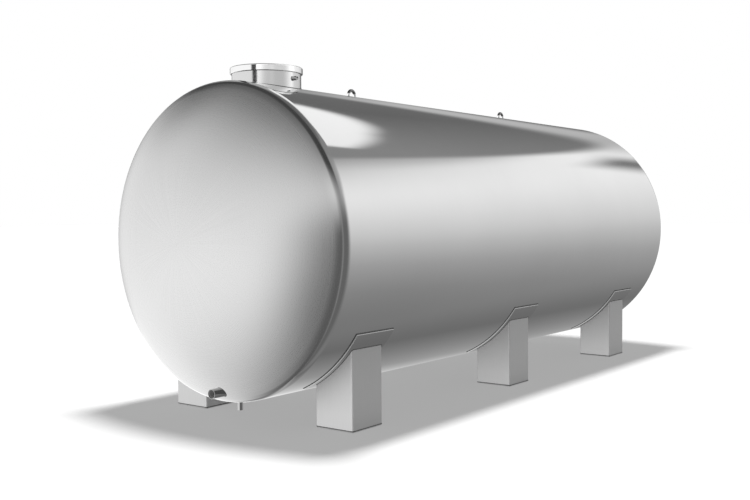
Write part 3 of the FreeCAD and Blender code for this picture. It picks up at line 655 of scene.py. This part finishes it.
# The steels take a grey, a roughness and how finely their grain repeats along x, y and z.
# A soft solid takes a colour, a roughness, a speck's size and the depth of its pits.
MATERIALS = {
    "polished_jacket": polished_jacket(),
    "brushed_head": brushed_head(),
    "vessel_steel": plain_steel("vessel_steel", 0.56, 0.30, (60, 900, 60)),
    "neck_steel": round_steel("neck_steel", 0.60, 0.20, MANWAY),
    "lid_steel": round_steel("lid_steel", 0.80, 0.16, MANWAY),
    "fitting_steel": plain_steel("fitting_steel", 0.45, 0.14, (500, 40, 500)),
    "outlet_steel": dull_bore("outlet_steel"),
    "collar_steel": plain_steel("collar_steel", 0.90, 0.20, (300, 300, 300)),
    "eye_steel": eye_steel(),
    "pad_steel": plain_steel("pad_steel", 0.52, 0.12, (300, 12, 300)),
    "saddle_steel": matt_steel("saddle_steel", 0.42, 0.42, (420, 420, 9)),
    "insulation_foam": soft_solid("insulation_foam", (0.78, 0.70, 0.45), 0.9, 0.004, 0.0006),
    "bearer_plastic": soft_solid("bearer_plastic", (0.10, 0.10, 0.11), 0.5, 0.002, 0.0001),
    "gasket_rubber": soft_solid("gasket_rubber", (0.03, 0.03, 0.03), 0.6, 0.0015, 0.0001),
    "weld_steel": plain_steel("weld_steel", 0.12, 0.40, (700, 700, 700), 0.10, 0.06, 0.5),
}


OWN_MATERIALS = {
    "eye_collars_front": "collar_steel",
    "eye_collars_rear": "collar_steel",
    "saddle_pad_front": "pad_steel",
    "saddle_pad_middle": "pad_steel",
    "saddle_pad_rear": "pad_steel",
    "outlet_pipe": "outlet_steel",
}


def paint_nodes():
    """Gives each CAD node its own material, or else the one made here for its slot."""
    for name, made in nodes.items():
        for slot in made.material_slots:
            slot_name = slot.material.name.split(".")[0]
            slot.material = MATERIALS[OWN_MATERIALS.get(name, slot_name)]


UNREFLECTED = ("leg_", "foot_plate_", "saddle_pad_", "outlet_", "vent_")


def keep_out_of_reflections():
    """Legs, pads, outlet and vent don't show in the polished steel, only the studio does."""
    for name, made in nodes.items():
        if name.startswith(UNREFLECTED):
            made.visible_glossy = False


# ---------------------------------------------------------------------------
# Weld beads and leg pads
# ---------------------------------------------------------------------------

RIPPLE = 0.0042     # one ripple of a bead along its seam
STEPS_A_RIPPLE = 3
RIPPLE_SHAPE = (0.82, 1.0, 0.94)
RIPPLE_DRIFT = 0.05     # how far the ripples grow and shrink along the seam
DRIFT_A_STEP = 0.37     # in radians
BEAD_SIDES = 8
SEAM_SAMPLES = 400


def bead(name, path, size, body="tank", closed=True, shows_in_mirrors=True):
    """A rippled weld bead, size in radius, along path, which takes 0..1 to a point."""
    samples = [path(i / SEAM_SAMPLES) for i in range(SEAM_SAMPLES + 1)]
    length = sum((b - a).length for a, b in zip(samples, samples[1:]))
    count = max(6, round(length / RIPPLE)) * STEPS_A_RIPPLE
    points = [path(i / count) for i in range(count + (0 if closed else 1))]
    total = len(points)
    verts = []
    for i, point in enumerate(points):
        before = points[i - 1] if closed or i else point
        after = points[(i + 1) % total] if closed or i + 1 < total else point
        along = (after - before).normalized()
        helper = Vector((0, 0, 1)) if abs(along.z) < 0.9 else Vector((1, 0, 0))
        across = along.cross(helper).normalized()
        over = across.cross(along)
        wave = RIPPLE_SHAPE[i % STEPS_A_RIPPLE] * (1 + RIPPLE_DRIFT * math.sin(i * DRIFT_A_STEP))
        for k in range(BEAD_SIDES):
            turn = 2 * math.pi * k / BEAD_SIDES
            verts.append(point + size * wave * (math.cos(turn) * across + math.sin(turn) * over))
    faces = []
    for i in range(total if closed else total - 1):
        here, there = i * BEAD_SIDES, (i + 1) % total * BEAD_SIDES
        for k in range(BEAD_SIDES):
            m = (k + 1) % BEAD_SIDES
            faces.append((here + k, here + m, there + m, there + k))
    if not closed:
        faces.append(tuple(range(BEAD_SIDES))[::-1])
        faces.append(tuple(range((total - 1) * BEAD_SIDES, total * BEAD_SIDES)))
    made = make_object(name, verts, faces)
    made.data.polygons.foreach_set("use_smooth", [True] * len(faces))
    made.data.update()
    made.data.materials.append(MATERIALS["weld_steel"])
    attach(made, body)
    made.visible_glossy = shows_in_mirrors


def along_corners(corners):
    """A path round straight runs through corners, closed, at an even pace."""
    runs = list(zip(corners, corners[1:] + corners[:1]))
    lengths = [(b - a).length for a, b in runs]
    total = sum(lengths)

    def path(share):
        left = (share % 1.0) * total
        for (a, b), length in zip(runs, lengths):
            if left <= length:
                return a.lerp(b, left / length)
            left -= length
        return corners[0].copy()

    return path


def rounded_rectangle(low, high, corner, steps=5):
    """Corner points of a rectangle with rounded corners, in a level plane."""
    low_x, high_x = low.x + corner, high.x - corner
    low_y, high_y = low.y + corner, high.y - corner
    points = []
    centres = ((high_x, high_y), (low_x, high_y), (low_x, low_y), (high_x, low_y))
    for (x, y), start in zip(centres, (0, 90, 180, 270)):
        for i in range(steps + 1):
            turn = math.radians(start + 90 * i / steps)
            points.append(Vector((x + corner * math.cos(turn), y + corner * math.sin(turn), 0)))
    return points


def level_circle(x, y, z, radius):
    """The seam of an upright rod on a level face."""
    def path(share):
        turn = 2 * math.pi * share
        return Vector((x + radius * math.cos(turn), y + radius * math.sin(turn), z))
    return path


def ring_on_jacket(x_centre, y_centre, radius, side=1):
    """The seam of an upright tube on the barrel's crown, or under its belly at side -1."""
    def path(share):
        turn = 2 * math.pi * share
        x = x_centre + radius * math.cos(turn)
        height = side * math.sqrt(RADIUS ** 2 - x ** 2)
        return Vector((x, y_centre + radius * math.sin(turn), AXIS_Z + height))
    return path


def weld_manway():
    neck_radius = (neck_high.y - neck_low.y) / 2
    bead("neck_weld", ring_on_jacket(MANWAY.x, MANWAY.y, neck_radius), size=0.0035)
    vent_low, vent_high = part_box("vent_pipe")
    vent_radius = (vent_high.y - vent_low.y) / 2
    vent_z = (vent_low.z + vent_high.z) / 2

    def round_vent(share):
        turn = 2 * math.pi * share
        y = vent_radius * math.cos(turn)
        x = math.sqrt(neck_radius ** 2 - y ** 2)
        return Vector((MANWAY.x + x, MANWAY.y + y, vent_z + vent_radius * math.sin(turn)))

    bead("vent_weld", round_vent, size=0.002, shows_in_mirrors=False)
    for end in ("front", "rear"):
        low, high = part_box(f"hinge_lug_{end}")
        outer_y, inner_y = (low.y, high.y) if end == "front" else (high.y, low.y)
        for edge, y in (("outer", outer_y), ("inner", inner_y)):
            x = MANWAY.x - math.sqrt(neck_radius ** 2 - (y - MANWAY.y) ** 2)
            bottom = Vector((x, y, low.z + 0.004))
            top = Vector((x, y, MANWAY.z - 0.036))
            bead(f"hinge_lug_{end}_{edge}_weld", lambda share: bottom.lerp(top, share),
                 size=0.0018, closed=False)


def weld_lid():
    low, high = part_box("lid_handle")
    lid_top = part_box("lid_cover")[1].z
    x = (low.x + high.x) / 2
    rod = (high.x - low.x) / 2
    for end, y in (("front", low.y + rod), ("rear", high.y - rod)):
        seam = level_circle(x, y, lid_top, rod)
        bead(f"handle_{end}_weld", seam, size=0.0016, body="lid")


def weld_fittings():
    low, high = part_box("outlet_pipe")
    x_centre, z_centre = (low.x + high.x) / 2, (low.z + high.z) / 2
    radius = (high.x - low.x) / 2
    crown_radius = abs(FRONT_TIP) - HEAD_CENTRE_Y

    def round_outlet(share):
        turn = 2 * math.pi * share
        x = x_centre + radius * math.cos(turn)
        z = z_centre + radius * math.sin(turn)
        deep = math.sqrt(crown_radius ** 2 - x ** 2 - (z - AXIS_Z) ** 2)
        return Vector((x, -HEAD_CENTRE_Y - deep, z))

    bead("outlet_weld", round_outlet, size=0.003, shows_in_mirrors=False)
    low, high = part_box("drain_nipple")
    seam = ring_on_jacket(0, (low.y + high.y) / 2, (high.x - low.x) / 2, side=-1)
    bead("drain_weld", seam, size=0.0022)
    for end in ("front", "rear"):
        low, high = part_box(f"lifting_eye_{end}")
        rod = (high.x - low.x) / 2
        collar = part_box(f"eye_collars_{end}")[1]
        for hand, y in (("near", low.y + rod), ("far", high.y - rod)):
            foot, top = ring_on_jacket(0, y, collar.x), level_circle(0, y, collar.z, rod)
            bead(f"eye_{end}_{hand}_weld", foot, size=0.0022)
            bead(f"eye_{end}_{hand}_rod_weld", top, size=0.0015)


PAD_START = math.radians(25)    # where each leg's pad starts, from the tank's bottom line
ARC_STEPS = 40


def arc_point(radius, angle, y):
    """A point on a cylinder round the tank's axis, at an angle from the bottom line."""
    return Vector((radius * math.sin(angle), y, AXIS_Z - radius * math.cos(angle)))


def arc_angles(start, stop, side):
    """Angles from the bottom line, evenly from start to stop, on the side -1 or 1."""
    return [side * (start + (stop - start) * i / ARC_STEPS) for i in range(ARC_STEPS + 1)]


def make_pads():
    """A curved pad for each leg, in place of the wrap that runs on under the belly."""
    for place in ("front", "middle", "rear"):
        low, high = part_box(f"saddle_pad_{place}")
        outer = AXIS_Z - low.z
        section = ((RADIUS, low.y), (outer, low.y), (outer, high.y), (RADIUS, high.y))
        verts, faces = [], []
        for side in (-1, 1):
            first = len(verts)
            angles = arc_angles(PAD_START, math.asin(high.x / outer), side)
            verts += [arc_point(radius, angle, y) for angle in angles for radius, y in section]
            rings = [[first + 4 * i + k for k in range(4)] for i in range(ARC_STEPS + 1)]
            faces += [(a[k], a[(k + 1) % 4], b[(k + 1) % 4], b[k])
                      for a, b in zip(rings, rings[1:]) for k in range(4)]
            faces += [tuple(rings[0]), tuple(rings[-1])]
        pads = make_object(f"leg_pads_{place}", verts, faces)
        shape = bmesh.new()
        shape.from_mesh(pads.data)
        bmesh.ops.recalc_face_normals(shape, faces=shape.faces)
        shape.to_mesh(pads.data)
        shape.free()
        pads.data.materials.append(MATERIALS["pad_steel"])
        bevel = pads.modifiers.new("worn_edges", "BEVEL")
        bevel.width = 0.001
        bevel.segments = 2
        bevel.angle_limit = math.radians(40)
        pads.visible_glossy = False
        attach(pads, "tank")
        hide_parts(f"saddle_pad_{place}")


PAD_BEAD_OFF = 0.002    # metres off the pad's sides, and radians off its ends
LEG_CORNER = 0.012


def weld_saddles():
    def hidden_bead(name, path, size):
        bead(name, path, size, shows_in_mirrors=False)

    for place in ("front", "middle", "rear"):
        low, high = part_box(f"saddle_pad_{place}")
        outer = AXIS_Z - low.z
        start, stop = PAD_START - PAD_BEAD_OFF, math.asin(high.x / outer) + PAD_BEAD_OFF
        for hand, side in (("left", -1), ("right", 1)):
            angles = arc_angles(start, stop, side)
            front, back = low.y - PAD_BEAD_OFF, high.y + PAD_BEAD_OFF
            corners = [arc_point(RADIUS, angle, front) for angle in angles]
            corners += [arc_point(RADIUS, angle, back) for angle in reversed(angles)]
            hidden_bead(f"pad_{place}_{hand}_weld", along_corners(corners), size=0.006)
            leg_low, leg_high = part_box(f"leg_{place}_{hand}")
            outline = rounded_rectangle(leg_low, leg_high, LEG_CORNER)
            round_leg = along_corners(outline)

            def on_pad(share):
                point = round_leg(share)
                return Vector((point.x, point.y, AXIS_Z - math.sqrt(outer ** 2 - point.x ** 2)))

            hidden_bead(f"leg_{place}_{hand}_weld", on_pad, size=0.004)
            sole = [Vector((p.x, p.y, leg_low.z)) for p in outline]
            hidden_bead(f"foot_{place}_{hand}_weld", along_corners(sole), size=0.003)


# ---------------------------------------------------------------------------
# Making
# ---------------------------------------------------------------------------

make_camera()
make_surroundings()
upright = [nodes[name] for name in ("manway_neck", "lid_cover", "lid_handle", "vent_pipe")]
legs = [made for name, made in nodes.items() if name.startswith("leg_")]
make_lamp("overhead", azimuth=0, elevation=90, width=11, light=575, lit=[make_floor()])
make_lamp("neck_fill", azimuth=76, elevation=8, width=128, light=0.58, lit=upright)
make_lamp("saddle_fill", azimuth=-5, elevation=8, width=60, light=2.6, lit=legs)
make_flag("flag_neck", (0.102, -2.29, 2.23), azimuth=5, half_width=0.031, half_height=0.08, grey=55)
make_shadow_board()
paint_nodes()
keep_out_of_reflections()
make_pads()
weld_manway()
weld_lid()
weld_fittings()
weld_saddles()
scene.view_settings.view_transform = "Standard"
scene.view_settings.look = "None"
